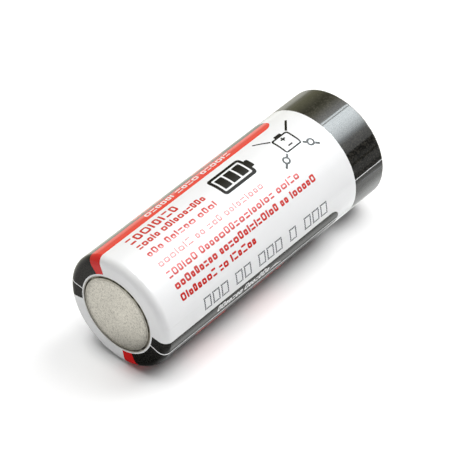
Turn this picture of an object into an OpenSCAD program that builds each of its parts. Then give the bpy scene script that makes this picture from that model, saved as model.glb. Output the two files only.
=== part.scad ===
// Cylindrical lithium thionyl chloride cell, A size, bobbin type.
// The cell is drawn standing on its negative end along +Z, then laid down along +X, so that
// the negative end faces -X and the origin is the middle of the line that it rests on.

/* [Cell] */
// Outer diameter over the sleeve
cell_d = 18.5; // [18.3:0.1:18.7]
// Overall length between the two terminal faces
cell_l = 50.5; // [50.0:0.1:51.0]

/* [Sleeve] */
// Thickness of the shrink film
film_t = 0.15; // [0.10:0.01:0.18]
// Outer corner radius of the film at the negative end
film_neg_corner = 1.3; // [1.0:0.1:1.6]
// Outer corner radius of the film at the positive end
film_pos_corner = 0.3; // [0.25:0.05:0.40]
// Radius of the film's opening at the negative end
film_neg_open_r = 6.2; // [6.1:0.05:6.6]
// Radius of the film's opening at the positive end
film_pos_open_r = 4.9; // [4.4:0.1:5.2]

/* [Can] */
// Wall thickness of the can
can_wall = 0.3; // [0.25:0.05:0.40]
// Thickness of the can's bottom at the terminal disc
can_bottom = 0.5; // [0.4:0.1:0.7]
// Radius of the raised terminal disc
disc_r = 6.0; // [5.6:0.1:6.0]
// Height that the terminal disc stands proud of the can's bottom
disc_step = 0.2; // [0.19:0.01:0.25]
// Radius of the fine coined groove inside the disc's rim
groove_r = 5.72; // [5.2:0.01:5.75]

/* [Positive terminal] */
// Radius of the button
button_r = 3.4; // [3.0:0.1:3.8]
// Height of the button above the film
button_proud = 1.7; // [1.5:0.1:2.0]
// Radius of the cap's brim
brim_r = 5.6; // [5.4:0.1:5.7]
// Sheet thickness of the cap
cap_t = 0.3; // [0.25:0.05:0.35]

/* [Header] */
// Sheet thickness of the lid
lid_t = 0.6; // [0.5:0.1:0.8]
// Depth from the can's rim to the lid's floor
lid_depth = 1.1; // [1.0:0.1:1.3]
// Outer radius of the glass bead
glass_r = 2.8; // [2.5:0.1:3.0]
// Outer radius of the terminal pin
pin_r = 1.2; // [1.1:0.05:1.3]
// Bore radius of the terminal pin
pin_bore_r = 0.6; // [0.5:0.05:0.7]

/* [Electrodes] */
// Thickness of the lithium foil
anode_t = 1.1; // [0.9:0.1:1.2]
// Height of the lithium foil
anode_h = 36; // [30:1:38]
// Width of the foil's butt gap
anode_gap = 1.2; // [0.6:0.2:2.0]
// Thickness of one layer of the separator
separator_t = 0.15; // [0.10:0.01:0.15]
// Angle that the wrapped separator overlaps itself
separator_lap = 70; // [40:10:120]
// Height of the carbon bobbin
cathode_h = 37; // [32:1:38]
// Outer radius of the current collector
collector_r = 1.6; // [1.4:0.1:1.8]

/* [Hidden] */
$fn = 96;

// Film
cell_r = cell_d / 2;
film_recess = disc_step - film_t;      // film face behind the terminal disc
film_end = cell_l - button_proud;      // film face at the positive end
film_bore_r = cell_r - film_t;

// Can, from the bottom up
can_r = film_bore_r;
can_bore_r = can_r - can_wall;
can_foot = disc_step;                  // the bottom's outer ring, under the film
can_corner = film_neg_corner - film_t;
can_inner_corner = can_corner - can_wall;
can_floor = can_bottom;
ring_t = 0.6;
ring_top = film_end - film_t;
ring_edge = film_pos_corner - film_t;
can_rim = ring_top - ring_t;
rim_edge = 0.25;                       // rounding of the can's welded rim
disc_edge = 0.1;                       // rounding of the terminal disc's rim
groove_w = 0.09;
groove_depth = 0.05;

// Positive cap
brim_z = ring_top - cap_t;
crown_z = cell_l - cap_t;
crown_edge = 0.45;
brim_gap = 0.1;

// Lid, glass and pin
lid_floor = can_rim - lid_depth;
lid_under = lid_floor - lid_t;
lid_slip = 0.02;
lid_r = can_bore_r - lid_slip;
pin_bottom = lid_under - 2.4;
pin_flare_h = 0.35;
pin_flare_r = pin_r + 0.25;
ball_d = 2 * pin_bore_r - 0.02;
ball_z = lid_under - 0.6;
plug_h = 1.2;
plug_nose = 0.2;
washer_slip = 0.1;
washer_edge = 0.1;
meniscus = 0.06;                       // depth of the dish in the glass bead's faces

// Electrodes
anode_r = can_bore_r - 0.02;
anode_bore_r = anode_r - anode_t;
separator_r = anode_bore_r - 0.05;
insulator_t = 0.4;
cup_t = 0.25;
cathode_z = can_floor + insulator_t + cup_t + 0.05;
cathode_top = cathode_z + cathode_h;
cathode_r = separator_r - 2 * separator_t - 0.1;
anode_z = can_floor + can_inner_corner;
separator_z = can_floor + insulator_t;
separator_top = cathode_top + 2.6;
collector_wall = 0.12;
collector_slip = 0.03;
collector_foot = 2.0;
collector_top = cathode_top + 1.0;
hole_r = 0.45;
hole_rows = 8;
holes_per_row = 6;
tab_w = 1.4;
tab_t = 0.12;
tab_lap = 1.5;
tab_foot = 0.95;                       // length of the bent foot welded under the pin's wall
tab_reach = sqrt(pow(collector_r - collector_wall, 2) - pow(tab_w / 2, 2)) - 0.01;
top_separator_t = 0.4;
header_insulator_t = 0.5;
header_insulator_z = lid_under - header_insulator_t;
pool_gap = 0.1;                        // clearance of the liquid from its walls
pool_top = header_insulator_z - pool_gap;
pool_bottom = separator_top + pool_gap;
pool_depth = 6.4;                      // greatest depth of the liquid, cell lying down
pool_r = can_bore_r - pool_gap;
skin = 0.01;

// Lays the standing cell down along +X, resting on the plane z = 0.
module lay_down() {
    translate([-cell_l / 2, 0, cell_r]) rotate([0, 90, 0]) children();
}

// Half outline of a round slug from height z0 to z1, with rounded edges.
module slug(r, z0, z1, edge0 = 0, edge1 = 0) {
    translate([0, z0 + edge0]) square([r, z1 - z0 - edge0 - edge1]);
    if (edge0 > 0) {
        translate([0, z0]) square([r - edge0, 2 * edge0]);
        translate([r - edge0, z0 + edge0]) circle(edge0);
    }
    if (edge1 > 0) {
        translate([0, z1 - 2 * edge1]) square([r - edge1, 2 * edge1]);
        translate([r - edge1, z1 - edge1]) circle(edge1);
    }
}

// Plain ring from height z0 to z1.
module ring(r_out, r_in, z0, z1) {
    rotate_extrude() translate([r_in, z0]) square([r_out - r_in, z1 - z0]);
}

// Printed film: a rolled tube with both ends folded in and rounded cut edges. The half turn puts
// the seam of its surface on top, so that the cell does not rest on it.
module shrink_sleeve() color([0.95, 0.95, 0.95]) lay_down() rotate(180) rotate_extrude() {
    difference() {
        slug(cell_r, film_recess, film_end, film_neg_corner, film_pos_corner);
        slug(film_bore_r, can_foot, ring_top, can_corner, film_pos_corner - film_t);
        square([film_neg_open_r + film_t / 2, can_foot + 1]);
        translate([0, ring_top - 1]) square([film_pos_open_r + film_t / 2, 2]);
    }
    translate([film_neg_open_r + film_t / 2, can_foot - film_t / 2]) circle(film_t / 2);
    translate([film_pos_open_r + film_t / 2, ring_top + film_t / 2]) circle(film_t / 2);
}

// Can: a drawn cup whose bottom carries the raised disc with its coined groove.
module can() color([0.78, 0.77, 0.75]) lay_down() rotate_extrude() difference() {
    union() {
        slug(can_r, can_foot, can_rim, can_corner, rim_edge);
        slug(disc_r, 0, can_floor, disc_edge, 0);
    }
    slug(can_bore_r, can_floor, can_rim + 1, can_inner_corner, 0);
    translate([groove_r, 0]) square([groove_w, 2 * groove_depth], center = true);
}

// Positive cap: a hat with a flat crown, a round shoulder and a flat brim.
module positive_cap() color([0.82, 0.81, 0.79]) lay_down() rotate_extrude() difference() {
    union() {
        slug(button_r, brim_z, cell_l, 0, crown_edge);
        translate([0, brim_z]) square([brim_r, cap_t]);
        // fillet where the wall turns into the brim
        difference() {
            translate([0, ring_top - skin]) square([button_r + cap_t, cap_t + skin]);
            translate([button_r + cap_t, ring_top + cap_t]) circle(cap_t);
        }
    }
    slug(button_r - cap_t, brim_z - 1, crown_z, 0, crown_edge - 0.2);
}

// Insulating ring on the can's rim, around the cap's brim, rounded to suit the film's corner.
module top_ring() color([0.76, 0.68, 0.54]) lay_down() rotate_extrude() difference() {
    slug(film_bore_r, can_rim, ring_top, 0, ring_edge);
    square([brim_r + brim_gap, cell_l]);
}

// Moulded washer in the lid's dish, with a boss that carries the cap's brim.
module cap_insulator() color([0.80, 0.79, 0.76]) lay_down() rotate_extrude() difference() {
    union() {
        slug(lid_r - lid_t - washer_slip, lid_floor, can_rim, washer_edge, washer_edge);
        slug(brim_r, lid_floor, brim_z, washer_edge, washer_edge);
    }
    square([pin_r + 0.4, cell_l]);
}

// Lid: a shallow dish with an upturned flange, bored for the glass bead.
module header_cover() color([0.80, 0.80, 0.80]) lay_down() rotate_extrude() difference() {
    slug(lid_r, lid_under, can_rim, 0.3, 0);
    translate([0, lid_floor]) square([lid_r - lid_t, cell_l]);
    square([glass_r, cell_l]);
}

// Glass bead fused between the lid and the pin, slightly dished on both faces.
module glass_seal() color([0.35, 0.55, 0.50, 0.7]) lay_down() rotate_extrude() difference() {
    half_w = (glass_r - pin_r) / 2;
    dish_r = (half_w * half_w + meniscus * meniscus) / (2 * meniscus);
    translate([pin_r, lid_under]) square([glass_r - pin_r, lid_t]);
    translate([pin_r + half_w, lid_floor + dish_r - meniscus]) circle(dish_r);
    translate([pin_r + half_w, lid_under - dish_r + meniscus]) circle(dish_r);
}

// Hollow terminal pin, flared at its inner end where the tab is welded.
module terminal_pin() color([0.75, 0.75, 0.72]) lay_down() difference() {
    union() {
        translate([0, 0, pin_bottom]) cylinder(r = pin_r, h = crown_z - pin_bottom);
        translate([0, 0, pin_bottom]) cylinder(r1 = pin_flare_r, r2 = pin_r, h = pin_flare_h);
    }
    translate([0, 0, pin_bottom - 1]) cylinder(r = pin_bore_r, h = cell_l);
}

// Steel ball pressed in the filling tube.
module sealing_ball() color([0.7, 0.7, 0.7]) lay_down() translate([0, 0, ball_z]) sphere(d = ball_d);

// Plug welded in the tube's mouth, with a chamfered nose.
module fill_plug() color([0.7, 0.7, 0.68]) lay_down() {
    translate([0, 0, crown_z - plug_h + plug_nose])
        cylinder(r = pin_bore_r - skin, h = plug_h - plug_nose);
    translate([0, 0, crown_z - plug_h])
        cylinder(r1 = pin_bore_r - plug_nose, r2 = pin_bore_r - skin, h = plug_nose);
}

// Lithium foil against the can's wall, open along its butt gap.
module lithium_anode() color([0.72, 0.73, 0.75]) lay_down() difference() {
    ring(anode_r, anode_bore_r, anode_z, anode_z + anode_h);
    translate([0, -anode_gap / 2, 0]) cube([cell_r, anode_gap, cell_l]);
}

// Wrapped separator: one full layer and the overlap of its outer layer.
module separator_tube() color([0.94, 0.93, 0.88]) lay_down() {
    ring(separator_r - separator_t, separator_r - 2 * separator_t, separator_z, separator_top);
    rotate([0, 0, 120]) translate([0, 0, separator_z]) rotate_extrude(angle = separator_lap)
        translate([separator_r - separator_t - skin, 0])
            square([separator_t + skin, separator_top - separator_z]);
}

// Disc that closes the separator under the cathode.
module separator_cup() color([0.94, 0.93, 0.88]) lay_down()
    translate([0, 0, separator_z]) cylinder(r = cathode_r, h = cup_t);

// Glass-fibre disc on the can's floor, rounded to suit the can's inner corner.
module bottom_insulator() color([0.90, 0.89, 0.84]) lay_down()
    translate([0, 0, can_floor]) cylinder(r = can_bore_r - can_inner_corner, h = insulator_t);

// Porous carbon bobbin with rounded ends and a bore for the collector.
module carbon_cathode() color([0.12, 0.12, 0.13]) lay_down() rotate_extrude() difference() {
    slug(cathode_r, cathode_z, cathode_top, 0.4, 0.4);
    square([collector_r + collector_slip, cell_l]);
}

// Perforated nickel tube in the cathode's bore.
module current_collector() color([0.70, 0.69, 0.64]) lay_down() difference() {
    ring(collector_r, collector_r - collector_wall, collector_foot, collector_top);
    pitch = (cathode_h - 4) / hole_rows;
    for (row = [0 : hole_rows - 1], k = [0 : holes_per_row / 2 - 1])
        translate([0, 0, collector_foot + 2 + row * pitch])
            rotate([90, 0, (k + (row % 2) / 2) * 360 / holes_per_row])
                cylinder(r = hole_r, h = 4 * collector_r, center = true);
}

// Nickel strip, spot-welded inside the collector and under the pin.
module collector_tab() color([0.74, 0.73, 0.68]) lay_down() {
    translate([tab_reach - tab_t, -tab_w / 2, collector_top - tab_lap])
        cube([tab_t, tab_w, pin_bottom - collector_top + tab_lap]);
    translate([tab_reach - tab_foot, -tab_w / 2, pin_bottom - tab_t])
        cube([tab_foot, tab_w, tab_t]);
}

// Glass-fibre ring on top of the cathode, inside the separator.
module top_separator() color([0.94, 0.93, 0.88]) lay_down()
    ring(cathode_r, collector_r + 0.1, cathode_top, cathode_top + top_separator_t);

// Disc between the electrodes and the lid, with a hole for the pin.
module header_insulator() color([0.90, 0.89, 0.84]) lay_down()
    ring(can_bore_r - 0.1, pin_flare_r + 0.3, header_insulator_z, header_insulator_z + header_insulator_t);

// Free electrolyte: a pool along the low side of the head space.
module electrolyte() color([0.85, 0.80, 0.45, 0.6]) lay_down() intersection() {
    translate([0, 0, pool_bottom]) cylinder(r = pool_r, h = pool_top - pool_bottom);
    translate([can_bore_r - pool_depth, -cell_r, 0]) cube([cell_r, cell_d, cell_l]);
}

shrink_sleeve();
can();
positive_cap();
top_ring();
cap_insulator();
header_cover();
glass_seal();
terminal_pin();
sealing_ball();
fill_plug();
lithium_anode();
separator_tube();
separator_cup();
bottom_insulator();
carbon_cathode();
current_collector();
collector_tab();
top_separator();
header_insulator();
electrolyte();
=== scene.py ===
"""A cylindrical lithium cell lying on its side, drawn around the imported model's frame.

The printed shrink sleeve is one closed mesh. It is laid out flat in sheet coordinates, x along the
cell and t around it, both in mm, cut along the outline of every printed shape, and rolled up.
Every other part is the CAD node itself with a better material. The studio's softbox and table
are also there as glowing sheets that are seen only where the cell mirrors them.
"""

import math
import random

import bpy
import numpy as np
from mathutils import Matrix, Vector, kdtree
from mathutils.geometry import delaunay_2d_cdt


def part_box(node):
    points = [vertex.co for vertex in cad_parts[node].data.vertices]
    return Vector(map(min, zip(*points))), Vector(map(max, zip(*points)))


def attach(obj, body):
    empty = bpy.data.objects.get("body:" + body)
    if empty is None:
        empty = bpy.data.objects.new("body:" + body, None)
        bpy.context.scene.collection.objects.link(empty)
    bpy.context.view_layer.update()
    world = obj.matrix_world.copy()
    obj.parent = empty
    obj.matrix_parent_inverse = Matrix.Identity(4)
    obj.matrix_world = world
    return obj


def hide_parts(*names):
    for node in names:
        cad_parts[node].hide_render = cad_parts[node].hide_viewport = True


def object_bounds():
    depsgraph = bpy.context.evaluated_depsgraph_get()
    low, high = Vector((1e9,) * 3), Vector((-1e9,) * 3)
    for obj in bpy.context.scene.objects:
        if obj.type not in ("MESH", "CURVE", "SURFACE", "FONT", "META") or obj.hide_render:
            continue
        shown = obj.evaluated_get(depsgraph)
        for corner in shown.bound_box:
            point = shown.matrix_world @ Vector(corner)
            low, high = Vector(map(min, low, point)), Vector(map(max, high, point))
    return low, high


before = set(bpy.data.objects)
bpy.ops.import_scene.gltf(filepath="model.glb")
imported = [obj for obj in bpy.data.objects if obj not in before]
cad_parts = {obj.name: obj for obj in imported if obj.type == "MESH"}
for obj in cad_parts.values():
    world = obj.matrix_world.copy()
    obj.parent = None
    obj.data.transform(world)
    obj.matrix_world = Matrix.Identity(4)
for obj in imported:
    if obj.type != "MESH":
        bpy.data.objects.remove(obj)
cad_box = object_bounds()

MM = 0.001

# ------------------------------------------------------------------ sizes of the cell, mm
sleeve_lo, sleeve_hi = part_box("shrink_sleeve")
R = (sleeve_hi.z - sleeve_lo.z) / 2 / MM  # outside radius; the axis is this high over the floor
END_X = cad_box[0].x / MM  # world x of the negative terminal's face
NEG_FACE = sleeve_lo.x / MM - END_X  # the sleeve's folded ends, from the negative terminal
POS_FACE = sleeve_hi.x / MM - END_X
DEG = math.pi * R / 180  # mm round the sleeve in one degree
FILM = 0.14  # the film's thickness
NEG_OPEN, POS_OPEN = 6.2, 4.9  # radii of the openings that the folded ends leave
NEG_CORNER, POS_CORNER = 1.3, 0.3  # radii of the bends onto the folded ends
LIP_R = 0.17  # half width of the thickened lip round each opening
NEG_LIP_X, POS_LIP_X = 0.095, 0.075  # half thickness of each lip
NEG_PROUD, POS_PROUD = 0.045, 0.015  # how far each lip stands out from its folded end
LIP_BLEND = 0.3  # width of the slope from each lip to its folded end


# ------------------------------------------------------------------ the sleeve's section
def ellipse(cx, cr, ax, ar, a0, a1, n=40):
    """Points of an elliptic arc in the (x, r) plane, angles in degrees from +x."""
    t = np.radians(np.linspace(a0, a1, n))
    return np.stack([cx + ax * np.cos(t), cr + ar * np.sin(t)], 1)


def blend_line(p, q, n=12):
    """From p to q, level at both ends in x."""
    k = np.linspace(0, 1, n)
    smooth = k * k * (3 - 2 * k)
    return np.stack([p[0] + (q[0] - p[0]) * smooth, p[1] + (q[1] - p[1]) * k], 1)


neg_lip_top = NEG_FACE - NEG_PROUD
pos_lip_top = POS_FACE + POS_PROUD
outer_parts = {
    "neg_lip": ellipse(neg_lip_top + NEG_LIP_X, NEG_OPEN + LIP_R, NEG_LIP_X, LIP_R, 0, -180),
    "neg_blend": blend_line(
        (neg_lip_top, NEG_OPEN + LIP_R), (NEG_FACE, NEG_OPEN + LIP_R + LIP_BLEND)
    ),
    "neg_face": np.array([(NEG_FACE, R - NEG_CORNER)]),
    "neg_corner": ellipse(
        NEG_FACE + NEG_CORNER, R - NEG_CORNER, NEG_CORNER, NEG_CORNER, 180, 90
    ),
    "side": np.array([(POS_FACE - POS_CORNER, R)]),
    "pos_corner": ellipse(
        POS_FACE - POS_CORNER, R - POS_CORNER, POS_CORNER, POS_CORNER, 90, 0
    ),
    "pos_blend": blend_line(
        (POS_FACE, POS_OPEN + LIP_R + LIP_BLEND), (pos_lip_top, POS_OPEN + LIP_R)
    ),
    "pos_lip": ellipse(pos_lip_top - POS_LIP_X, POS_OPEN + LIP_R, POS_LIP_X, LIP_R, 0, -180),
}


def path_length(points):
    """How far along a line each of its points is."""
    steps = np.hypot(*np.diff(points, axis=0).T)
    return np.concatenate([[0], np.cumsum(steps)])


outer = np.concatenate(list(outer_parts.values()))
outer_s = path_length(outer)
part_end = dict(
    zip(outer_parts, outer_s[np.cumsum([len(p) for p in outer_parts.values()]) - 1])
)
SIDE_X = NEG_FACE + NEG_CORNER  # where the straight side starts
SHEET0 = part_end["neg_corner"] - SIDE_X  # path length at sheet x = 0
PATH_END = outer_s[-1]


def section(s):
    """(x, r) of the outside of the sleeve at a path length s."""
    return np.interp(s, outer_s, outer[:, 0]), np.interp(s, outer_s, outer[:, 1])


def step(v, a, b):
    """A smooth rise from 0 at a to 1 at b."""
    k = np.clip((v - a) / (b - a), 0, 1)
    return k * k * (3 - 2 * k)


# ------------------------------------------------------------------ how the film lies
film_rng = np.random.default_rng(11)


def waves(count, turns, lengths, depth):
    """Random smooth ripples: whole waves round the cell, and a wavelength along it in mm."""
    n = film_rng.integers(turns[0], turns[1] + 1, count)
    k = 2 * math.pi / film_rng.uniform(*lengths, count) * film_rng.choice([-1, 1], count)
    phase = film_rng.uniform(0, 2 * math.pi, count)
    size = film_rng.uniform(0.5, 1, count) * depth / math.sqrt(count)
    return n, k, phase, size


def ripple(parts, theta, s):
    """The sum of some waves at an angle and a path length."""
    out = np.zeros(np.shape(theta))
    for n, k, phase, size in zip(*parts):
        out = out + size * np.sin(n * theta + k * s + phase)
    return out


SAG = 0.03  # the film lies this far inside the full radius, except on its creases
LIP_FADE = 0.35  # the sag and the puckers fade in over this path length from each lip
soft_waves = waves(9, (1, 7), (9, 40), 0.008)
neg_puckers = waves(7, (9, 26), (3, 9), 0.003)
pos_puckers = waves(9, (16, 44), (3, 9), 0.02)
end_sway = waves(6, (5, 16), (4, 9), 0.008)  # the print sways where the film shrank, radians
# where the film shrank over the near end the print drifted round it: angle and drift, degrees
END_DRIFT = (
    (-180, 2.4),
    (-150, 1.4),
    (-99, -0.2),
    (-81, -0.2),
    (-52, 1.2),
    (-36, 2.4),
    (-21, 0.2),
    (0, 0.0),
    (92, -1.2),
    (109, -0.2),
    (155, 2.0),
    (180, 2.4),
)
CREASES = (77.5, -102.5)  # the two folds of the flat tube the sleeve was cut from, degrees
CREASE_W = 0.15  # half width of a crease


def end_weights(s):
    """How far a point is onto the negative and onto the positive folded end, from 0 to 1."""
    neg = 1 - step(s, part_end["neg_blend"], part_end["neg_corner"])
    pos = step(s, part_end["side"], part_end["pos_corner"])
    return neg, pos


def film_point(theta, s):
    """The outside of the film, in mm, at an angle from the top and a path length."""
    theta, s = np.asarray(theta, float), np.asarray(s, float)
    near = 0.01  # the slope is taken between points this far to either side
    xa, ra = section(s - near)
    xb, rb = section(s + near)
    dx, dr = xb - xa, rb - ra
    size = np.hypot(dx, dr)
    nx, nr = -dr / size, dx / size
    x, r = section(s)
    neg, pos = end_weights(s)
    lip = step(s, 0, LIP_FADE) * (1 - step(s, PATH_END - LIP_FADE, PATH_END))
    ridge = np.zeros(theta.shape)
    for c in CREASES:
        away = ((np.degrees(theta) - c + 180) % 360 - 180) * DEG
        ridge = ridge + np.exp(-((away / CREASE_W) ** 2))
    side = (1 - neg) * (1 - pos)
    inward = SAG * (1 - ridge * side) * lip + ripple(soft_waves, theta, s) * lip * side
    inward = inward + lip * (
        neg * ripple(neg_puckers, theta, s) + pos * ripple(pos_puckers, theta, s)
    )
    inward = np.maximum(inward, 0)
    drift = np.radians(np.interp(np.degrees(theta), *zip(*END_DRIFT)))
    turned = theta + neg * drift + np.maximum(neg, pos) * lip * ripple(end_sway, theta, s)
    x, r = x - nx * inward, r - nr * inward
    return np.stack([x + END_X, -r * np.sin(turned), R + r * np.cos(turned)], -1)


def film_normal(theta, s):
    """The film's outward direction, from small steps round it and along it."""
    turn, shift = 0.004, 0.03  # radians and mm
    ahead, behind = np.minimum(s + shift, PATH_END), np.maximum(s - shift, 0)
    along = film_point(theta, ahead) - film_point(theta, behind)
    around = film_point(theta + turn, s) - film_point(theta - turn, s)
    n = np.cross(around, along)
    return n / np.linalg.norm(n, axis=-1, keepdims=True)


# ------------------------------------------------------------------ the print, in sheet mm
# each ink is a material slot of the sleeve; the last two are the bare lips and the far rim's painted
# reflection
WHITE, BLACK, RED, TEXT_RED, GREY, MATT_BLACK, END_BLACK, END_RED, EDGE, RIM_SHEEN = range(10)
shapes = []  # (ink, outline), later ones on top


def put(ink, outline):
    """Adds a printed shape. Outlines go anticlockwise in (t, x)."""
    area = sum(
        t0 * x1 - t1 * x0 for (x0, t0), (x1, t1) in zip(outline, outline[1:] + outline[:1])
    )
    shapes.append((ink, outline if area > 0 else outline[::-1]))


def rounded(x0, x1, t0, t1, radii, n=6):
    """A rectangle with its corners rounded: radii at (x0,t0), (x1,t0), (x1,t1), (x0,t1)."""
    out = []
    corners = (
        (x0, t0, 1, 1, 180),
        (x1, t0, -1, 1, 270),
        (x1, t1, -1, -1, 0),
        (x0, t1, 1, -1, 90),
    )
    for (cx, ct, sx, st, a0), rad in zip(corners, radii):
        if rad <= 0:
            out.append((cx, ct))
            continue
        for k in range(n + 1):
            a = math.radians(a0 + 90 * k / n)
            out.append((cx + sx * rad + rad * math.cos(a), ct + st * rad + rad * math.sin(a)))
    return out


def slanted(outline, t_base, lean):
    """Leans an outline along x by how far each point is above its base line."""
    return [(x + (t_base - t) * lean, t) for x, t in outline]


def bar(x0, t0, x1, t1, width):
    """A straight stroke between two points."""
    length = math.hypot(x1 - x0, t1 - t0)
    nx, nt = -(t1 - t0) / length * width / 2, (x1 - x0) / length * width / 2
    return [(x0 + nx, t0 + nt), (x0 - nx, t0 - nt), (x1 - nx, t1 - nt), (x1 + nx, t1 + nt)]


def disc(x, t, rad, n):
    """A round dot with n corners."""
    return [
        (x + rad * math.cos(2 * math.pi * k / n), t + rad * math.sin(2 * math.pi * k / n))
        for k in range(n)
    ]


LETTER_GAP, WORD_GAP = 0.24, 0.6  # in the same units as the letters' widths


def greek_line(ink, x0, x1, t, words, x_height, stroke, seed, lean=0.0, paper=WHITE, tall=1.38):
    """A line of greeked words from x0 to x1: rounded boxes, bars and ticks that say nothing.

    words gives the letters in each word, lean slants them, and tall is the height of the tall
    ones in x heights.
    """
    rnd = random.Random(seed)
    plan, total = [], 0.0
    for count in words:
        last = None
        for _ in range(count):
            kind = rnd.choice([k for k in ("box", "box", "box", "bars", "tick") if k != last])
            last = None if kind == "box" else kind
            wide = 0.36 if kind == "tick" else rnd.choice((0.86, 0.95, 1.04, 1.16))
            high = tall if kind == "tick" or rnd.random() < 0.2 else 1.0
            plan.append((total, kind, wide, high))
            total += wide + LETTER_GAP
        total += WORD_GAP
    scale = (x1 - x0) / (total - (LETTER_GAP + WORD_GAP))
    for start, kind, wide, high in plan:
        x, w, h = x0 + start * scale, wide * scale, x_height * high
        soft = (0.3 * stroke,) * 4
        if kind == "tick":
            parts = [rounded(x, x + 1.1 * stroke, t - h, t, soft, 2)]
        elif kind == "bars":
            parts = [
                rounded(x, x + w, t - h, t - h + stroke, soft, 2),
                rounded(x, x + w, t - stroke, t, soft, 2),
            ]
        else:
            parts = [rounded(x, x + w, t - h, t, (0.3 * min(w, h),) * 4, 4)]
        for part in parts:
            put(ink, slanted(part, t, lean))
        if kind == "box":
            hole = (x + stroke, x + w - stroke, t - h + stroke, t - stroke)
            put(paper, slanted(rounded(*hole, (0.4 * stroke,) * 4, 2), t, lean))


PRINT_START = part_end["neg_blend"] - SHEET0 - 0.08  # just outside the lip
GROUP_END, GROUP_ROUND = 38.5, 2.1  # the far end of the stripes, and the radius it has there
BAND_START = 42.2  # the black band covers the sleeve from here to the far end


def stripe_group(narrow0, line0, line1, red0, red1):
    """A narrow black, thin white, wide black and red stripe; angles in degrees.

    The white line runs on past both ends of the black.
    """
    first, last = narrow0 * DEG, red1 * DEG
    rounds = (0, GROUP_ROUND, GROUP_ROUND, 0)
    put(BLACK, rounded(PRINT_START, GROUP_END, first, last, rounds, 10))
    put(WHITE, rounded(PRINT_START - 0.05, GROUP_END + 0.1, line0 * DEG, line1 * DEG, (0,) * 4))
    put(RED, rounded(PRINT_START, GROUP_END, red0 * DEG, last, (0, 0, GROUP_ROUND, 0), 10))


stripe_group(-99, -82.2, -80.8, -36.2, -21.2)
stripe_group(93.3, 108.1, 109.5, 155, 170.5)


def motif(x0, width, t_mid):
    """Three slanted red bars on the wide black stripe."""
    height, count, lean = 3.3, 3, 0.45
    pitch = width / count
    for k in range(count):
        x = x0 + k * pitch
        outline = rounded(x, x + pitch * 0.8, t_mid - height / 2, t_mid + height / 2, (0.2,) * 4, 3)
        put(RED, slanted(outline, t_mid, lean))


for start, width, angle in ((11.2, 6.8, -51), (23.8, 7.2, -51), (7.0, 6.8, 125), (19.4, 7.2, 125)):
    motif(start, width, angle * DEG)

# a thin white strip is painted along the crease where it crosses the far black band, as the crease's
# painted highlight, and the ink is scratched lightly beside it
put(WHITE, rounded(BAND_START, POS_FACE, 77.15 * DEG, 77.85 * DEG, (0,) * 4))
put(GREY, bar(BAND_START + 1.4, 83.2 * DEG, POS_FACE - 0.5, 84.6 * DEG, 0.07))

# white greeked text on the stripes
greek_line(WHITE, 11.3, 29.4, -26.7 * DEG, (6, 4, 6), 1.1, 0.24, 31, 0.22, RED, 1.0)
greek_line(WHITE, 11.2, 22.4, 103.2 * DEG, (7, 7), 0.8, 0.2, 32, 0.22, BLACK)

# red greeked text: base line in degrees, end, letters per word, x height, stroke, tall letters
FRONT_TEXT = (
    (-7.2, 14.8, (8,), 1.45, 0.34, 1.0),
    (2.7, 18.8, (5, 10), 0.82, 0.27, 1.36),
    (14.6, 19.2, (3, 6, 4), 0.82, 0.27, 1.36),
    (27.6, 27.0, (7, 2, 3, 9), 0.82, 0.27, 1.36),
    (40.2, 33.0, (6, 16, 5), 0.82, 0.27, 1.36),
    (51.6, 35.2, (9, 14, 2, 6), 0.86, 0.3, 1.34),
    (63.4, 20.7, (8, 2, 6), 0.86, 0.3, 1.34),
)


def red_text(rows, x0, seed):
    """Rows of greeked text that start at x0, each with a seed of its own."""
    for k, (angle, end, words, height, stroke, tall) in enumerate(rows):
        greek_line(TEXT_RED, x0, end, angle * DEG, words, height, stroke, seed + k, tall=tall)


red_text(FRONT_TEXT, 4.8, 40)


def swoosh(x0, x1, t, depth):
    """A small white tick that tapers to both ends."""
    n = 10
    top = [(x0 + (x1 - x0) * k / n, t - depth * math.sin(math.pi * k / n)) for k in range(n + 1)]
    low = [
        (x0 + (x1 - x0) * k / n, t - 0.45 * depth * math.sin(math.pi * k / n))
        for k in range(n - 1, 0, -1)
    ]
    put(WHITE, top + low)


swoosh(22.4, 25.4, 104.4 * DEG, 0.5)


def cell_pictogram(x0, x1, t0, t1, wall):
    """A bold generic battery along the cell: a rounded case with a nub and charge bars."""
    nub = 0.65
    case_end = x1 - nub
    mid, half = (t0 + t1) / 2, (t1 - t0) / 2
    nub_half, nub_round = half * 0.42, (0, 0.25, 0.25, 0)
    put(MATT_BLACK, rounded(case_end - 0.3, x1, mid - nub_half, mid + nub_half, nub_round, 4))
    put(MATT_BLACK, rounded(x0, case_end, t0, t1, (0.6,) * 4, 5))
    put(WHITE, rounded(x0 + wall, case_end - wall, t0 + wall, t1 - wall, (0.22,) * 4, 3))
    gap, bars = 0.32, 3
    room = case_end - x0 - 2 * wall - gap
    pitch = room / bars
    for k in range(bars):
        a = x0 + wall + gap + k * pitch
        outline = rounded(a, a + pitch - gap, t0 + wall + gap, t1 - wall - gap, (0.12,) * 4, 2)
        put(MATT_BLACK, outline)


cell_pictogram(21.4, 29.0, -12.8 * DEG, 12.5 * DEG, 0.55)


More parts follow.
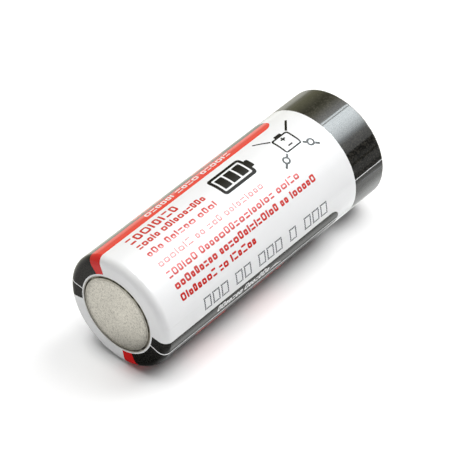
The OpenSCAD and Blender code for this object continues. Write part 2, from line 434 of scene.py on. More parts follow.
def circuit_pictogram(x0, x1, t0, t1):
    """Thin line art: a small cell between four diagonal leads, two of them with a ring."""
    line = 0.3
    cx, ct = (x0 + x1) / 2, (t0 + t1) / 2
    hx, ht = 1.75, 1.6  # half the cell's sides
    leads = ((-1, -1, 0.28), (1, -1, 0.36), (-1, 1, 0.4), (1, 1, 0.4))  # sides and width
    for sx, st, wide in leads:
        end_x, end_t = cx + sx * (x1 - x0) / 2, ct + st * (t1 - t0) / 2
        put(MATT_BLACK, bar(cx + sx * hx, ct + st * ht, end_x, end_t, wide))
    put(MATT_BLACK, rounded(cx - hx, cx + hx, ct - ht, ct + ht, (0.4,) * 4, 4))
    in_x, in_t = hx - line, ht - line
    put(WHITE, rounded(cx - in_x, cx + in_x, ct - in_t, ct + in_t, (0.2,) * 4, 3))
    top, nub_round = ct - ht, (0.12, 0.12, 0, 0)
    put(MATT_BLACK, rounded(cx - 0.7, cx + 0.7, top - 0.42, top + 0.05, nub_round, 2))
    for t in (ct - 0.72, ct + 0.72):
        put(MATT_BLACK, bar(cx - 0.45, t, cx + 0.45, t, line * 0.9))
    put(MATT_BLACK, bar(cx, ct - 1.12, cx, ct - 0.32, line * 0.9))
    for sx in (-1, 1):
        x, t = cx + sx * 2.75, ct + 2.35
        put(MATT_BLACK, disc(x, t, 0.7, 14))
        put(WHITE, disc(x, t, 0.34, 12))


circuit_pictogram(32.1, 39.7, -14.6 * DEG, 27.2 * DEG)


def dot_code(x_starts, t0, width, pitch, dot):
    """A coded line of dotted placeholder boxes, as an ink jet printer puts down."""
    cols, rows = int(round(width / pitch)), 6
    for x0 in x_starts:
        for c in range(cols + 1):
            for r in range(rows + 1):
                if c in (0, cols) or r in (0, rows):
                    put(GREY, disc(x0 + c * pitch, t0 + r * pitch, dot / 2, 8))


CODE_X = (8.5, 10.35, 12.2, 15.3, 17.15, 20.3, 22.15, 24.0, 27.2, 30.5, 32.35, 34.2)
dot_code(CODE_X, 75.2 * DEG, width=1.24, pitch=0.31, dot=0.3)

# the back panel: rows of small greeked print between two polarity signs
BACK_TEXT = (
    (-158, 25.5, (6, 9, 4), 0.82, 0.25, 1.32),
    (-146, 27.8, (3, 7, 8), 0.82, 0.25, 1.32),
    (-134, 22.0, (9, 5), 0.82, 0.25, 1.32),
    (-122, 26.4, (4, 8, 6), 0.82, 0.25, 1.32),
)
red_text(BACK_TEXT, 10.0, 60)
MINUS_X, PLUS_X, SIGN_T = 4.6, 35.4, -143 * DEG
SIGN, SIGN_W = 1.3, 0.6  # half length and width of a stroke
put(BLACK, bar(MINUS_X, SIGN_T - SIGN, MINUS_X, SIGN_T + SIGN, SIGN_W))
put(BLACK, bar(PLUS_X - SIGN, SIGN_T, PLUS_X + SIGN, SIGN_T, SIGN_W))
put(BLACK, bar(PLUS_X, SIGN_T - SIGN, PLUS_X, SIGN_T + SIGN, SIGN_W))


# ------------------------------------------------------------------ cutting and rolling the sheet
def rows_between(a, b, spacing):
    """Even path lengths from a, without b."""
    return np.linspace(a, b, max(1, round((b - a) / spacing)) + 1)[:-1]


COLUMNS = 240  # round the sleeve
CLEAR = 0.05  # grid points this close to a printed edge are left out
EDGE_STEP, BEND_STEP = 0.5, 0.2  # longest edge of an outline on the side and round the bend
CDT_EPSILON = 1e-5
ON_SEAM = 1e-4  # points this close to the sheet's long edges are on them
s_band = BAND_START + SHEET0
s_end = part_end["neg_corner"] - 0.15  # the duller ink of the near end reaches this path length
corner_arc = part_end["pos_corner"] - part_end["side"]
s_sheen = part_end["side"] + 0.08 * corner_arc  # between these the far rim gets a matt beige in place of the ink, painted as its grazing reflection
s_sheen_end = part_end["side"] + 0.8 * corner_arc
EDGE_ROWS = (part_end["neg_lip"], s_end, s_band, s_sheen, s_sheen_end)  # the ink changes along these
ROW_GAPS = (  # where each run of rows starts, and how far apart its rows are
    (0, 0.05),
    (part_end["neg_lip"], 0.08),
    (part_end["neg_blend"], 0.2),
    (part_end["neg_face"], 0.2),
    (s_end, 0.15),
    (part_end["neg_corner"], 0.55),
    (s_band, 0.55),
    (part_end["side"], 0.09),
    (s_sheen, 0.09),
    (s_sheen_end, 0.09),
    (part_end["pos_corner"], 0.3),
    (part_end["pos_blend"], 0.05),
    (PATH_END, 0),
)
row_s = np.concatenate(
    [rows_between(a, b, gap) for (a, gap), (b, _) in zip(ROW_GAPS, ROW_GAPS[1:])] + [[PATH_END]]
)
col_t = np.linspace(-180, 180, COLUMNS + 1) * DEG


def resampled(outline):
    """The outline with its long edges divided, finer where it goes round the corner."""
    out = []
    for (x0, t0), (x1, t1) in zip(outline, outline[1:] + outline[:1]):
        longest = BEND_STEP if min(x0, x1) < SIDE_X else EDGE_STEP
        n = max(1, math.ceil(math.hypot(x1 - x0, t1 - t0) / longest))
        out += [(x0 + (x1 - x0) * k / n, t0 + (t1 - t0) * k / n) for k in range(n)]
    return out


def edge_tree(flat, faces):
    """Points along every printed outline, four to an edge, for finding the nearest."""
    tree = kdtree.KDTree(len(flat) * 4)
    for face in faces:
        for a, b in zip(face, face[1:] + face[:1]):
            (t0, s0), (t1, s1) = flat[a], flat[b]
            for k in range(4):
                tree.insert((t0 + (t1 - t0) * k / 4, s0 + (s1 - s0) * k / 4, 0), 0)
    tree.balance()
    return tree


DULL = {BLACK: END_BLACK, RED: END_RED}  # how the inks look on the near end


def ink_at(s, covering):
    """The ink of a triangle at a path length, from the numbers of the shapes that cover it."""
    # the far rim gets the painted reflection: a matt beige standing for its grazing reflection
    if s_sheen < s < s_sheen_end:
        return RIM_SHEEN
    if s < part_end["neg_lip"] or s > part_end["pos_blend"]:
        return EDGE
    if covering:
        ink = shapes[max(covering)][0]
    else:
        ink = BLACK if s > s_band else WHITE
    return DULL.get(ink, ink) if s < s_end else ink


def build_sheet():
    """(points as (t, s), triangles, ink of each) for the outside of the film."""
    flat, faces = [], []
    for _, outline in shapes:
        ring = resampled(outline)
        faces.append(list(range(len(flat), len(flat) + len(ring))))
        flat += [(t, x + SHEET0) for x, t in ring]
    tree = edge_tree(flat, faces)
    grid = {}
    edge_rows = [int(np.argmin(abs(row_s - s))) for s in EDGE_ROWS]
    whole_rows = {0, len(row_s) - 1, *edge_rows}
    for i, s in enumerate(row_s):
        for j, t in enumerate(col_t):
            free = j not in (0, COLUMNS) and i not in whole_rows
            if free and tree.find((t, s, 0))[2] < CLEAR:
                continue
            grid[i, j] = len(flat)
            flat.append((t, s))
    fixed = [(grid[i, j], grid[i, j + 1]) for i in edge_rows for j in range(COLUMNS)]
    out = delaunay_2d_cdt([Vector(p) for p in flat], fixed, faces, 0, CDT_EPSILON, True)
    points, tris, covering = out[0], out[2], out[5]
    inks = [
        ink_at(sum(points[v][1] for v in tri) / 3, ids) for tri, ids in zip(tris, covering)
    ]
    return np.array([tuple(p) for p in points]), tris, inks


def inner_section():
    """(x, r) points of the film's inside, from the positive lip back to the negative one."""
    pos_bend, neg_bend = POS_CORNER - FILM, NEG_CORNER - FILM
    return np.concatenate(
        [
            [(pos_lip_top - 2 * POS_LIP_X, R - POS_CORNER)],
            ellipse(POS_FACE - POS_CORNER, R - POS_CORNER, pos_bend, pos_bend, 0, 90, 8),
            ellipse(SIDE_X, R - NEG_CORNER, neg_bend, neg_bend, 90, 180, 10),
            [(neg_lip_top + 2 * NEG_LIP_X, R - NEG_CORNER - 0.3)],
        ]
    )


def key(number):
    """A sheet coordinate rounded, so that equal places compare equal."""
    return round(float(number), 3)


def lip_ring(points, seam, s):
    """The sheet's points along the row at path length s, starting with the one on the seam."""
    row = {key(t): i for i, (t, place) in enumerate(points) if key(place) == key(s)}
    return [seam[key(s)]] + [row[key(t)] for t in col_t[1:-1]]


def build_sleeve():
    """The closed sleeve: the printed sheet rolled up and its edges joined, and a plain inside."""
    points, tris, inks = build_sheet()
    half = 180 * DEG
    seam = {key(s): i for i, (t, s) in enumerate(points) if abs(t + half) < ON_SEAM}
    other = {key(s): i for i, (t, s) in enumerate(points) if abs(t - half) < ON_SEAM}
    joined = {i: seam[s] for s, i in other.items()}
    theta = points[:, 0] / R
    places = film_point(theta, points[:, 1])
    normals = film_normal(theta, points[:, 1])
    faces = [[joined.get(v, v) for v in tri] for tri in tris]
    facing = [
        np.dot(np.cross(places[b] - places[a], places[c] - places[a]), normals[a])
        for a, b, c in tris
    ]
    if sum(1 for f in facing if f < 0) > len(facing) / 2:
        faces = [f[::-1] for f in faces]

    inner = inner_section()
    tangent = np.gradient(inner, axis=0)
    angles = col_t[:-1] / R
    inner_places, inner_normals = [], []
    rings = [lip_ring(points, seam, row_s[-1])]
    for k, (x, r) in enumerate(inner):
        rings.append([len(points) + k * COLUMNS + j for j in range(COLUMNS)])
        inner_places += [(x + END_X, -r * math.sin(a), R + r * math.cos(a)) for a in angles]
        dx, dr = tangent[k] / np.hypot(*tangent[k])
        inner_normals += [(-dr, -dx * math.sin(a), dx * math.cos(a)) for a in angles]
    rings.append(lip_ring(points, seam, row_s[0]))
    for a, b in zip(rings, rings[1:]):
        for j in range(COLUMNS):
            k = (j + 1) % COLUMNS
            faces.append([a[j], a[k], b[k], b[j]])
            inks.append(WHITE)
    places = np.concatenate([places, inner_places])
    normals = np.concatenate([normals, inner_normals])

    used = sorted({v for f in faces for v in f})
    new = {v: i for i, v in enumerate(used)}
    mesh = bpy.data.meshes.new("printed_sleeve")
    mesh.from_pydata((places[used] * MM).tolist(), [], [[new[v] for v in f] for f in faces])
    mesh.polygons.foreach_set("material_index", inks)
    mesh.polygons.foreach_set("use_smooth", [True] * len(faces))
    mesh.update()
    mesh.normals_split_custom_set_from_vertices(normals[used].tolist())
    obj = bpy.data.objects.new("printed_sleeve", mesh)
    bpy.context.scene.collection.objects.link(obj)
    return obj


# ------------------------------------------------------------------ materials
class Shader:
    """A node material: a Principled surface whose colour, roughness and relief are textured."""

    def __init__(self, name, **inputs):
        self.material = bpy.data.materials.new(name)
        self.material.use_nodes = True
        self.tree = self.material.node_tree
        self.surface = self.tree.nodes["Principled BSDF"]
        for key, value in inputs.items():
            self.surface.inputs[key.replace("_", " ")].default_value = value
        self.where = self.tree.nodes.new("ShaderNodeTexCoord").outputs["Object"]
        self.relief = None

    def node(self, kind, **settings):
        """A new node with some of its settings."""
        made = self.tree.nodes.new(kind)
        for key, value in settings.items():
            setattr(made, key, value)
        return made

    def link(self, source, target):
        """Joins an output to an input."""
        self.tree.links.new(source, target)

    def stretched(self, scale):
        """Object coordinates in mm, divided by a grain size along x, y and z."""
        made = self.node("ShaderNodeMapping")
        made.inputs["Scale"].default_value = [1 / (g * MM) for g in scale]
        self.link(self.where, made.inputs["Vector"])
        return made.outputs["Vector"]

    def noise(self, grain, detail=4.0, rough=0.55):
        """A noise of a grain size in mm, one number or three for x, y and z."""
        grain = (grain,) * 3 if isinstance(grain, (int, float)) else grain
        made = self.node("ShaderNodeTexNoise")
        made.inputs["Scale"].default_value = 1.0
        made.inputs["Detail"].default_value = detail
        made.inputs["Roughness"].default_value = rough
        self.link(self.stretched(grain), made.inputs["Vector"])
        return made.outputs["Fac"]

    def spots(self, grain, size):
        """1 inside small spots about grain mm apart, and 0 elsewhere."""
        made = self.node("ShaderNodeTexVoronoi")
        made.inputs["Scale"].default_value = 1.0
        self.link(self.stretched((grain,) * 3), made.inputs["Vector"])
        return self.ranged(made.outputs["Distance"], 0.0, size, 1.0, 0.0)

    def ranged(self, value, a, b, low, high, how="LINEAR"):
        """A value carried from the range a to b over to low to high, and held at the ends."""
        made = self.node("ShaderNodeMapRange", interpolation_type=how)
        for key, number in zip(("From Min", "From Max", "To Min", "To Max"), (a, b, low, high)):
            made.inputs[key].default_value = number
        self.link(value, made.inputs["Value"])
        return made.outputs["Result"]

    def math(self, operation, a, b=None):
        """Arithmetic on numbers and outputs."""
        made = self.node("ShaderNodeMath", operation=operation)
        for socket, value in zip(made.inputs, (a, b)):
            if isinstance(value, (int, float)):
                socket.default_value = value
            elif value is not None:
                self.link(value, socket)
        return made.outputs["Value"]

    def mix(self, fac, a, b):
        """A colour between a and b; each is a colour or the output of another mix."""
        made = self.node("ShaderNodeMix", data_type="RGBA")
        self.link(fac, made.inputs["Factor"])
        for key, value in (("A", a), ("B", b)):
            socket = [i for i in made.inputs if i.name == key and i.type == "RGBA"][0]
            if isinstance(value, tuple):
                socket.default_value = (*value, 1)
            else:
                self.link(value, socket)
        return [o for o in made.outputs if o.type == "RGBA"][0]

    def colour(self, value):
        """Sets the surface's colour from an output."""
        self.link(value, self.surface.inputs["Base Color"])

    def roughness(self, value):
        """Sets the surface's roughness from an output."""
        self.link(value, self.surface.inputs["Roughness"])

    def bump(self, height, depth):
        """Adds relief: height from 0 to 1 stands for a depth in mm."""
        made = self.node("ShaderNodeBump")
        made.inputs["Distance"].default_value = depth * MM
        self.link(height, made.inputs["Height"])
        if self.relief is not None:
            self.link(self.relief, made.inputs["Normal"])
        self.relief = made.outputs["Normal"]
        self.link(self.relief, self.surface.inputs["Normal"])


def film_material(name, light, dark, rough=0.07, shine=0.5, grain=None):
    """Glossy printed PVC film: faint mottling, fine streaks round the cell, slight haze.

    grain is the colour of fine pale specks where the ink is thin.
    """
    s = Shader(name, Specular_IOR_Level=shine)
    tone = s.mix(s.noise(2.6, 3.0), dark, light)
    if grain:
        tone = s.mix(s.ranged(s.noise(0.3, 2.0, 0.7), 0.42, 0.62, 0.0, 1.0), tone, grain)
    s.colour(tone)
    haze = s.noise((1.4, 0.5, 0.5), 4.0)
    s.roughness(s.ranged(haze, 0.3, 0.75, rough * 0.85, rough * 1.3))
    s.bump(s.noise((0.09, 1.2, 1.2), 2.0), 0.0006)
    s.bump(s.noise(0.16, 3.0), 0.0004)
    return s.material


GAP_SHADE_DARK, GAP_SHADE_LIGHT = (0.08, 0.075, 0.07), (0.46, 0.44, 0.40)  # painted shade of the gap at the film's edge, at its darkest and at its lightest


def darker(colour, part):
    """A part of a colour's brightness."""
    return tuple(c * part for c in colour)


def metal_material(name, light, dark, rough, grain=0.09, depth=0.004, speck=0.0, rim=None):
    """Rolled and drawn metal: a fine matt grain, cloudy tone, and small dark specks.

    rim is a radius in mm from the cell's axis: the metal gets darker in ragged patches toward it,
    and past it a ragged dark ring is painted shade of the gap under the film's lip.
    """
    s = Shader(name, Metallic=1.0)
    cloud = s.noise(2.5, 4.0)
    tone = s.mix(s.ranged(cloud, 0.35, 0.65, 0.0, 0.5), light, dark)
    fine = s.noise(grain, 4.0, 0.7)
    tone = s.mix(s.ranged(fine, 0.44, 0.62, 0.0, 0.7), tone, darker(dark, 0.62))
    pits = s.noise(3.2 * grain, 3.0, 0.7)
    tone = s.mix(s.ranged(pits, 0.5, 0.66, 0.0, 0.8), tone, darker(dark, 0.55))
    if speck:
        tone = s.mix(s.spots(0.6, speck), tone, darker(dark, 0.3))
    rough_now = s.ranged(fine, 0.3, 0.7, rough * 0.85, rough * 1.2)
    if rim:
        axes = s.node("ShaderNodeSeparateXYZ")
        s.link(s.where, axes.inputs["Vector"])
        height = s.math("SUBTRACT", axes.outputs["Z"], R * MM)
        squares = [s.math("MULTIPLY", v, v) for v in (axes.outputs["Y"], height)]
        radius = s.math("DIVIDE", s.math("SQRT", s.math("ADD", *squares)), MM)
        ragged = s.math("ADD", radius, s.ranged(s.noise(0.5, 4.0), 0.3, 0.7, -0.45, 0.45))
        # the metal gets darker in ragged patches over the last 0.9 mm before the rim
        tone = s.mix(s.ranged(ragged, rim - 0.9, rim, 0.0, 0.3), tone, darker(dark, 0.3))
        # painted shade: a dark ring, darker in some patches than in others, stands for the gap under
        # the film's lip
        gap_shade = s.mix(s.ranged(s.noise(2.2, 3.0), 0.42, 0.58, 0.0, 1.0), GAP_SHADE_DARK, GAP_SHADE_LIGHT)
        tone = s.mix(s.ranged(radius, rim - 0.02, rim + 0.03, 0.0, 1.0), tone, gap_shade)
        rough_now = s.math("ADD", rough_now, s.ranged(radius, rim - 0.03, rim, 0.0, 0.4))
    s.colour(tone)
    s.roughness(rough_now)
    s.bump(fine, depth)
    return s.material


def matt_material(name, light, dark, rough, grain, depth, stretch=(1, 1, 1)):
    """Moulded, pressed or fibrous matter: two tones, a grain and its relief."""
    s = Shader(name)
    texture = s.noise(tuple(grain * k for k in stretch), 5.0, 0.6)
    s.colour(s.mix(s.ranged(texture, 0.3, 0.7, 0.0, 1.0), dark, light))
    s.roughness(s.ranged(texture, 0.3, 0.7, rough * 0.9, min(1.0, rough * 1.1)))
    s.bump(texture, depth)
    return s.material


INK_GRAIN, END_GRAIN = (0.030, 0.028, 0.023), (0.018, 0.017, 0.015)
sleeve = build_sleeve()
for made in (  # in the order of the inks
    film_material("film_white", (0.87, 0.875, 0.88), (0.84, 0.845, 0.85)),
    film_material("ink_black", (0.007, 0.007, 0.006), (0.003, 0.003, 0.003), grain=INK_GRAIN),
    film_material("ink_red", (0.80, 0.014, 0.008), (0.77, 0.012, 0.006)),
    film_material("ink_text_red", (0.58, 0.024, 0.020), (0.54, 0.020, 0.016)),
    film_material("ink_grey", (0.10, 0.11, 0.125), (0.06, 0.065, 0.08)),
    film_material("ink_matt_black", (0.013, 0.012, 0.011), (0.008, 0.008, 0.008), shine=0.18),
    film_material(
        "ink_end_black", (0.005, 0.005, 0.004), (0.003, 0.003, 0.003), shine=0.12, grain=END_GRAIN
    ),
    film_material("ink_end_red", (0.72, 0.016, 0.016), (0.68, 0.014, 0.014), shine=0.2),
    film_material("film_edge", (0.52, 0.50, 0.45), (0.44, 0.42, 0.37), rough=0.3, shine=0.3),
    # painted reflection: a matt beige standing for the grazing reflection along the far rim
    film_material("painted_rim_sheen", (0.22, 0.205, 0.18), (0.17, 0.16, 0.14), rough=0.6, shine=0.05),
):
    sleeve.data.materials.append(made)
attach(sleeve, "root")
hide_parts("shrink_sleeve")

STEEL_LIGHT, STEEL_DARK = (0.70, 0.68, 0.62), (0.56, 0.545, 0.50)
RIM_RADIUS = 5.93  # where the terminal disc goes under the film's lip
node_materials = {
    "can": metal_material("steel_can", STEEL_LIGHT, STEEL_DARK, 0.34, speck=0.07, rim=RIM_RADIUS),
    "positive_cap": metal_material("steel_cap", (0.70, 0.69, 0.66), (0.58, 0.57, 0.54), 0.26),
    "header_cover": metal_material("steel_lid", STEEL_LIGHT, STEEL_DARK, 0.3),
    "terminal_pin": metal_material("steel_pin", (0.60, 0.58, 0.55), (0.48, 0.46, 0.43), 0.3),
    "sealing_ball": metal_material("steel_ball", (0.68, 0.67, 0.65), (0.58, 0.57, 0.55), 0.18),
    "fill_plug": metal_material("steel_plug", (0.62, 0.61, 0.58), (0.50, 0.49, 0.46), 0.32),
    "current_collector": metal_material("nickel_mesh", (0.58, 0.54, 0.47), (0.46, 0.42, 0.36), 0.34),
    "collector_tab": metal_material("nickel_tab", (0.60, 0.56, 0.49), (0.50, 0.46, 0.40), 0.28),
    "lithium_anode": metal_material(
        "lithium_foil", (0.52, 0.52, 0.54), (0.36, 0.36, 0.39), 0.5, 0.25, 0.01
    ),
    "top_ring": matt_material(
        "ring_board", (0.55, 0.42, 0.25), (0.42, 0.31, 0.17), 0.85, 0.12, 0.01, (1, 3, 3)
    ),
    "cap_insulator": matt_material(
        "washer_plastic", (0.62, 0.60, 0.55), (0.50, 0.48, 0.43), 0.5, 0.4, 0.002
    ),
    "glass_seal": matt_material(
        "seal_glass", (0.05, 0.10, 0.12), (0.03, 0.06, 0.08), 0.12, 0.5, 0.001
    ),
    "carbon_cathode": matt_material(
        "cathode_carbon", (0.030, 0.030, 0.030), (0.012, 0.012, 0.012), 0.95, 0.2, 0.03
    ),
    "electrolyte": matt_material(
        "electrolyte_liquid", (0.75, 0.68, 0.38), (0.68, 0.60, 0.30), 0.06, 2.5, 0.001
    ),
}
FELTS = (
    "separator_tube",
    "separator_cup",
    "bottom_insulator",
    "top_separator",
    "header_insulator",
)
for felt in FELTS:
    node_materials[felt] = matt_material(
        felt + "_felt", (0.86, 0.85, 0.80), (0.70, 0.68, 0.62), 0.95, 0.06, 0.02, (1, 1, 4)
    )
for name, made in node_materials.items():
    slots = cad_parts[name].material_slots
    if not slots:
        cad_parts[name].data.materials.append(made)
    for material_slot in slots:
        material_slot.material = made


# ------------------------------------------------------------------ the studio
# tints of the light
OLIVE, WARM, COOL = (1.0, 0.98, 0.62), (1.0, 1.0, 0.88), (0.93, 1.0, 1.03)
PLAIN, DUSK, NEAR_TINT = (0.985, 1.0, 0.985), (1.0, 0.98, 0.72), (1.0, 0.985, 0.94)


def glow_sheet(name, rows, cols, point, glow):
    """A sheet of light seen only in reflections, over a grid of rows and columns.

    point gives the place, and glow the brightness and the tint, at a row and a column.
    """
    verts = [point(a, b) for a in rows for b in cols]
    n = len(cols)
    faces = [
        (i * n + j, i * n + j + 1, (i + 1) * n + j + 1, (i + 1) * n + j)
        for i in range(len(rows) - 1)
        for j in range(n - 1)
    ]
    mesh = bpy.data.meshes.new(name)
    mesh.from_pydata(verts, [], faces)
    field = mesh.attributes.new("glow", "FLOAT_COLOR", "POINT")
    shades = []
    for a in rows:
        for b in cols:
            bright, tint = glow(a, b)
            shades += [bright * c for c in tint] + [1.0]
    field.data.foreach_set("color", shades)
    material = bpy.data.materials.new(name)
    material.use_nodes = True
    tree = material.node_tree
    tree.nodes.clear()
    light = tree.nodes.new("ShaderNodeAttribute")
    light.attribute_name = "glow"
    lamp = tree.nodes.new("ShaderNodeEmission")
    out = tree.nodes.new("ShaderNodeOutputMaterial")
    tree.links.new(light.outputs["Color"], lamp.inputs["Color"])
    tree.links.new(lamp.outputs["Emission"], out.inputs["Surface"])
    mesh.materials.append(material)
    obj = bpy.data.objects.new(name, mesh)
    bpy.context.scene.collection.objects.link(obj)
    obj.visible_camera = False
    obj.visible_diffuse = False
    obj.visible_shadow = False
    obj.visible_transmission = False


# the softbox mirrored in the film and the wall beyond it: angle from straight up toward -Y,
# brightness, and tint
BOX = (
    (-84.0, 0.70, OLIVE),
    (-65.0, 0.66, OLIVE),
    (-55.0, 0.47, OLIVE),
    (-46.0, 0.42, OLIVE),
    (-35.0, 0.95, DUSK),
    (-25.0, 1.8, WARM),
    (-15.0, 2.9, PLAIN),
    (-9.3, 3.4, PLAIN),
    (-9.0, 12.0, COOL),
    (-5.6, 13.0, COOL),
    (-5.4, 2.6, PLAIN),
    (-3.8, 2.6, PLAIN),
    (-3.6, 14.0, COOL),
    (8.0, 14.5, COOL),
    (20.0, 12.2, COOL),
    (32.0, 8.3, COOL),
    (40.0, 3.7, COOL),
    (46.0, 1.8, PLAIN),
    (58.0, 1.3, PLAIN),
    (65.0, 1.05, PLAIN),
    (65.2, 0.07, PLAIN),
    (75.0, 0.08, PLAIN),
    (86.0, 0.38, PLAIN),
)
BOX_AWAY = 0.6  # metres from the cell
BOX_X = (0.02, 0.9)  # its two ends along the cell, metres


def box_point(angle, x):
    """A place on the softbox, which is bent round the cell's length."""
    a = math.radians(angle)
    return (x, -BOX_AWAY * math.sin(a), BOX_AWAY * math.cos(a))


box_glow = {angle: (bright, tint) for angle, bright, tint in BOX}
glow_sheet("mirrored_softbox", tuple(box_glow), BOX_X, box_point, lambda a, x: box_glow[a])

# the bright table mirrored in the film, over a grid in mm. A row is its y, from the side of the
# camera to the far side, its tint, and its brightness at each x from the near end; close to the
# cell it lies in the cell's shade
TABLE_X = (-400, -13, -8, -4, -1.6, 0.5, 37, 43, 48, 58, 400)
TABLE = (
    (-400, PLAIN, (0.3, 0.3, 0.3, 0.3, 0.3, 0.3, 0.3, 0.3, 0.32, 0.34, 0.34)),
    (-54, PLAIN, (0.3, 0.3, 0.3, 0.3, 0.3, 0.3, 0.3, 0.3, 0.4, 0.48, 0.48)),
    (-34, PLAIN, (0.3, 0.3, 0.3, 0.3, 0.3, 0.3, 0.3, 0.3, 0.2, 0.1, 0.1)),
    (-30, PLAIN, (0.4, 0.4, 0.4, 0.35, 0.3, 0.3, 0.3, 0.3, 0.25, 0.2, 0.2)),
    (-24, PLAIN, (0.55, 0.55, 0.55, 0.5, 0.45, 0.42, 0.42, 0.42, 0.65, 0.72, 0.72)),
    (-19, PLAIN, (0.7, 0.68, 0.62, 0.55, 0.48, 0.45, 0.45, 0.45, 1.3, 1.8, 1.8)),
    (-15.5, PLAIN, (0.8, 0.75, 0.7, 0.6, 0.5, 0.48, 0.48, 0.48, 1.15, 1.45, 1.45)),
    (-13.5, PLAIN, (0.85, 0.8, 0.72, 0.6, 0.5, 0.46, 0.46, 0.46, 1.3, 1.7, 1.7)),
    (-12.4, PLAIN, (0.9, 0.8, 0.72, 0.6, 0.58, 0.65, 0.65, 0.65, 1.3, 1.9, 1.9)),
    (-11.4, PLAIN, (0.9, 0.8, 0.72, 0.6, 0.7, 0.98, 0.98, 0.98, 1.4, 2.0, 2.0)),
    (-10.4, PLAIN, (0.9, 0.85, 0.75, 0.6, 0.7, 1.08, 1.08, 1.08, 1.5, 2.0, 2.0)),
    (-9.4, PLAIN, (0.95, 0.8, 0.6, 0.35, 0.4, 0.55, 0.55, 0.6, 1.3, 1.75, 1.75)),
    (-8.7, PLAIN, (0.95, 0.8, 0.6, 0.3, 0.25, 0.41, 0.41, 0.58, 1.15, 1.5, 1.5)),
    (-8.1, PLAIN, (0.95, 0.8, 0.6, 0.25, 0.15, 0.6, 0.6, 0.75, 1.1, 1.3, 1.3)),
    (-7.4, PLAIN, (0.95, 0.8, 0.6, 0.22, 0.05, 0.5, 0.5, 0.6, 0.9, 1.2, 1.2)),
    (-6.8, PLAIN, (0.95, 0.8, 0.55, 0.18, 0.03, 0.27, 0.27, 1.05, 1.1, 1.15, 1.15)),
    (-6, PLAIN, (0.95, 0.8, 0.5, 0.12, 0.03, 0.08, 0.08, 1.2, 1.2, 1.2, 1.2)),
    (-1.5, PLAIN, (0.95, 0.8, 0.5, 0.12, 0.03, 0.04, 0.04, 1.1, 1.1, 1.1, 1.1)),
    (1, PLAIN, (1.1, 1.2, 1.1, 0.6, 0.06, 0.05, 0.05, 0.7, 0.9, 1.0, 1.0)),
    (5, PLAIN, (1.15, 1.25, 1.2, 0.9, 0.2, 0.06, 0.06, 0.3, 0.6, 1.0, 1.0)),
    (12, WARM, (1.1, 1.1, 1.0, 0.8, 0.6, 0.6, 0.6, 0.6, 0.6, 0.6, 0.6)),
    (22, WARM, (1.0, 1.0, 0.95, 0.95, 0.95, 0.95, 0.95, 0.9, 0.8, 0.62, 0.62)),
    (29, WARM, (1.0, 1.0, 1.05, 1.05, 1.1, 1.1, 1.1, 1.05, 0.95, 0.78, 0.78)),
    (41, WARM, (1.0, 1.0, 1.05, 1.05, 1.05, 1.05, 1.05, 1.05, 1.0, 0.98, 0.98)),
    (68, WARM, (1.1, 1.1, 1.1, 1.1, 1.1, 1.1, 1.1, 1.1, 1.15, 1.3, 1.3)),
    (200, DUSK, (0.75, 0.75, 0.75, 0.75, 0.75, 0.75, 0.75, 0.75, 0.7, 0.66, 0.66)),
    (400, OLIVE, (0.7, 0.7, 0.7, 0.7, 0.7, 0.7, 0.7, 0.7, 0.7, 0.7, 0.7)),
)
TABLE_FAR = 100  # mm; only up to this y does the table past the near end have a tint of its own
TABLE_UNDER = -0.2  # mm
table_rows = {y: (tint, row) for y, tint, row in TABLE}


def table_point(y, x):
    """A place on the mirrored table, just under the floor."""
    return ((x + END_X) * MM, y * MM, TABLE_UNDER * MM)


def table_glow(y, x):
    """The table's brightness and tint; past the near end it is a little warmer."""
    tint, row = table_rows[y]
    return row[TABLE_X.index(x)], NEAR_TINT if x < 0 and y < TABLE_FAR else tint


glow_sheet("mirrored_table", tuple(table_rows), TABLE_X, table_point, table_glow)


def world_light(ambient, seen):
    """Even light all round, white behind the object, and a darker room in reflections."""
    world = bpy.data.worlds.new("studio")
    bpy.context.scene.world = world
    world.use_nodes = True
    tree = world.node_tree
    tree.nodes.clear()
    node, link = tree.nodes.new, tree.links.new

    def ranged(value, numbers):
        made = node("ShaderNodeMapRange")
        for key, number in zip(("From Min", "From Max", "To Min", "To Max"), numbers):
            made.inputs[key].default_value = number
        link(value, made.inputs["Value"])
        return made.outputs["Result"]

    out = node("ShaderNodeOutputWorld")
    path = node("ShaderNodeLightPath")
    sky = node("ShaderNodeTexCoord")
    axes = node("ShaderNodeSeparateXYZ")
    link(sky.outputs["Generated"], axes.inputs["Vector"])
    mirrored = node("ShaderNodeMath")
    mirrored.operation = "ADD"
    # the mirrored room is dark toward -Y, brighter toward +Y, and brighter overhead
    link(ranged(axes.outputs["Y"], (-0.5, 0.5, 0.06, 0.72)), mirrored.inputs[0])
    link(ranged(axes.outputs["Z"], (0.2, 0.75, 0.0, 0.5)), mirrored.inputs[1])
    lamps = [node("ShaderNodeBackground") for _ in range(3)]
    lamps[0].inputs["Strength"].default_value = ambient
    lamps[1].inputs["Strength"].default_value = seen
    lamps[2].inputs["Color"].default_value = (*DUSK, 1)
    link(mirrored.outputs["Value"], lamps[2].inputs["Strength"])
    a, b = node("ShaderNodeMixShader"), node("ShaderNodeMixShader")
    link(path.outputs["Is Camera Ray"], a.inputs["Fac"])
    link(lamps[0].outputs["Background"], a.inputs[1])
    link(lamps[1].outputs["Background"], a.inputs[2])
    link(path.outputs["Is Glossy Ray"], b.inputs["Fac"])
    link(a.outputs["Shader"], b.inputs[1])
    link(lamps[2].outputs["Background"], b.inputs[2])
    link(b.outputs["Shader"], out.inputs["Surface"])


AMBIENT, BACKDROP = 0.06, 1.1
world_light(AMBIENT, BACKDROP)

FLOOR_HALF = 3.0  # metres
FLOOR_GLOW = 0.34
SHADE_START = 5.6  # mm from each end of the cell to the ends of the painted shadow strip under it
SHADE_DARK, SHADE_CLEAR = 4.6, 8.2  # mm from that strip where the table's glow starts and is full
SHADE_POWER = 4.0  # how square the shade's rounded ends are; 2 would be round


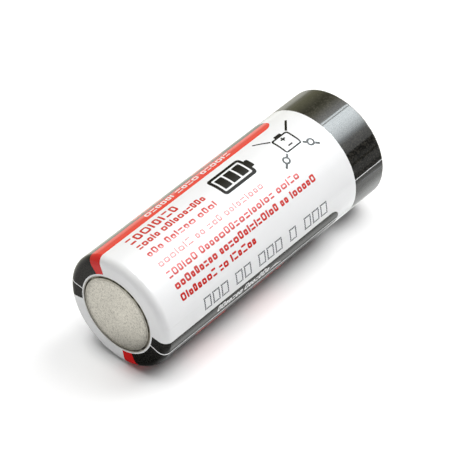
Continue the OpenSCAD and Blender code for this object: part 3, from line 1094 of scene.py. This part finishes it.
def studio_floor(half):
    """A white table with an even slight glow, faded out under and round the cell as a painted
    shadow.
    """
    mesh = bpy.data.meshes.new("floor")
    corners = [(-half, -half, 0), (half, -half, 0), (half, half, 0), (-half, half, 0)]
    mesh.from_pydata(corners, [], [(0, 1, 2, 3)])
    s = Shader("white_table", Roughness=1.0, Specular_IOR_Level=0.0)
    s.surface.inputs["Base Color"].default_value = (0.8, 0.8, 0.8, 1)
    s.surface.inputs["Emission Color"].default_value = (1, 1, 1, 1)
    axes = s.node("ShaderNodeSeparateXYZ")
    s.link(s.where, axes.inputs["Vector"])
    middle = (POS_FACE / 2 + END_X) * MM
    along = s.math("ABSOLUTE", s.math("SUBTRACT", axes.outputs["X"], middle))
    along = s.math("MAXIMUM", s.math("SUBTRACT", along, (POS_FACE / 2 - SHADE_START) * MM), 0.0)
    across = s.math("ABSOLUTE", axes.outputs["Y"])
    sides = [s.math("POWER", s.math("DIVIDE", v, MM), SHADE_POWER) for v in (along, across)]
    away = s.math("POWER", s.math("ADD", *sides), 1 / SHADE_POWER)
    # painted shadow: the table's glow fades out close to the cell
    glow = s.ranged(away, SHADE_DARK, SHADE_CLEAR, 0.0, FLOOR_GLOW, "SMOOTHSTEP")
    s.link(glow, s.surface.inputs["Emission Strength"])
    mesh.materials.append(s.material)
    floor = bpy.data.objects.new("floor", mesh)
    bpy.context.scene.collection.objects.link(floor)
    floor.visible_glossy = False


studio_floor(FLOOR_HALF)

# soft lamps: the direction in which each stands from the cell, its distance and size in metres,
# and its power in watts; they light the cell, and the glowing sheets are what is mirrored in it
LAMPS = (
    ("key", (0.56, -0.22, 0.80), 0.6, 0.4, 2.7),
    ("overhead", (-0.05, 0.1, 1.0), 0.7, 0.5, 2.6),
    ("back", (0.35, 0.80, 0.50), 0.7, 0.5, 0.4),
    ("left", (-0.80, 0.20, 0.55), 0.7, 0.5, 0.3),
    ("front", (-0.10, -0.90, 0.42), 0.7, 0.5, 0.5),
)
for name, stands, away, size, power in LAMPS:
    lamp = bpy.data.lights.new(name, "AREA")
    lamp.shape = "SQUARE"
    lamp.size = size
    lamp.energy = power
    obj = bpy.data.objects.new(name, lamp)
    bpy.context.scene.collection.objects.link(obj)
    stands = Vector(stands).normalized()
    obj.location = stands * away
    obj.rotation_mode = "QUATERNION"
    obj.rotation_quaternion = stands.to_track_quat("Z", "Y")
    obj.visible_glossy = False

# ------------------------------------------------------------------ the camera
CAM_AZ, CAM_EL = -49.34, 42.30  # degrees from -Y toward +X, and over the floor
LENS, SENSOR = 215.7, 36.0  # mm
CAM_PLACE = Vector((-220.96, -188.16, 272.85)) * MM
az, el = math.radians(CAM_AZ), math.radians(CAM_EL)
back = Vector((math.sin(az) * math.cos(el), -math.cos(az) * math.cos(el), math.sin(el)))
right = Vector((math.cos(az), math.sin(az), 0))
camera_data = bpy.data.cameras.new("camera")
camera_data.lens, camera_data.sensor_width = LENS, SENSOR
camera_data.clip_start, camera_data.clip_end = 0.01, 20.0
camera = bpy.data.objects.new("camera", camera_data)
bpy.context.scene.collection.objects.link(camera)
camera.matrix_world = Matrix.Translation(CAM_PLACE) @ Matrix(
    (right, back.cross(right), back)
).transposed().to_4x4()
bpy.context.scene.camera = camera
bpy.context.scene.view_settings.view_transform = "Standard"
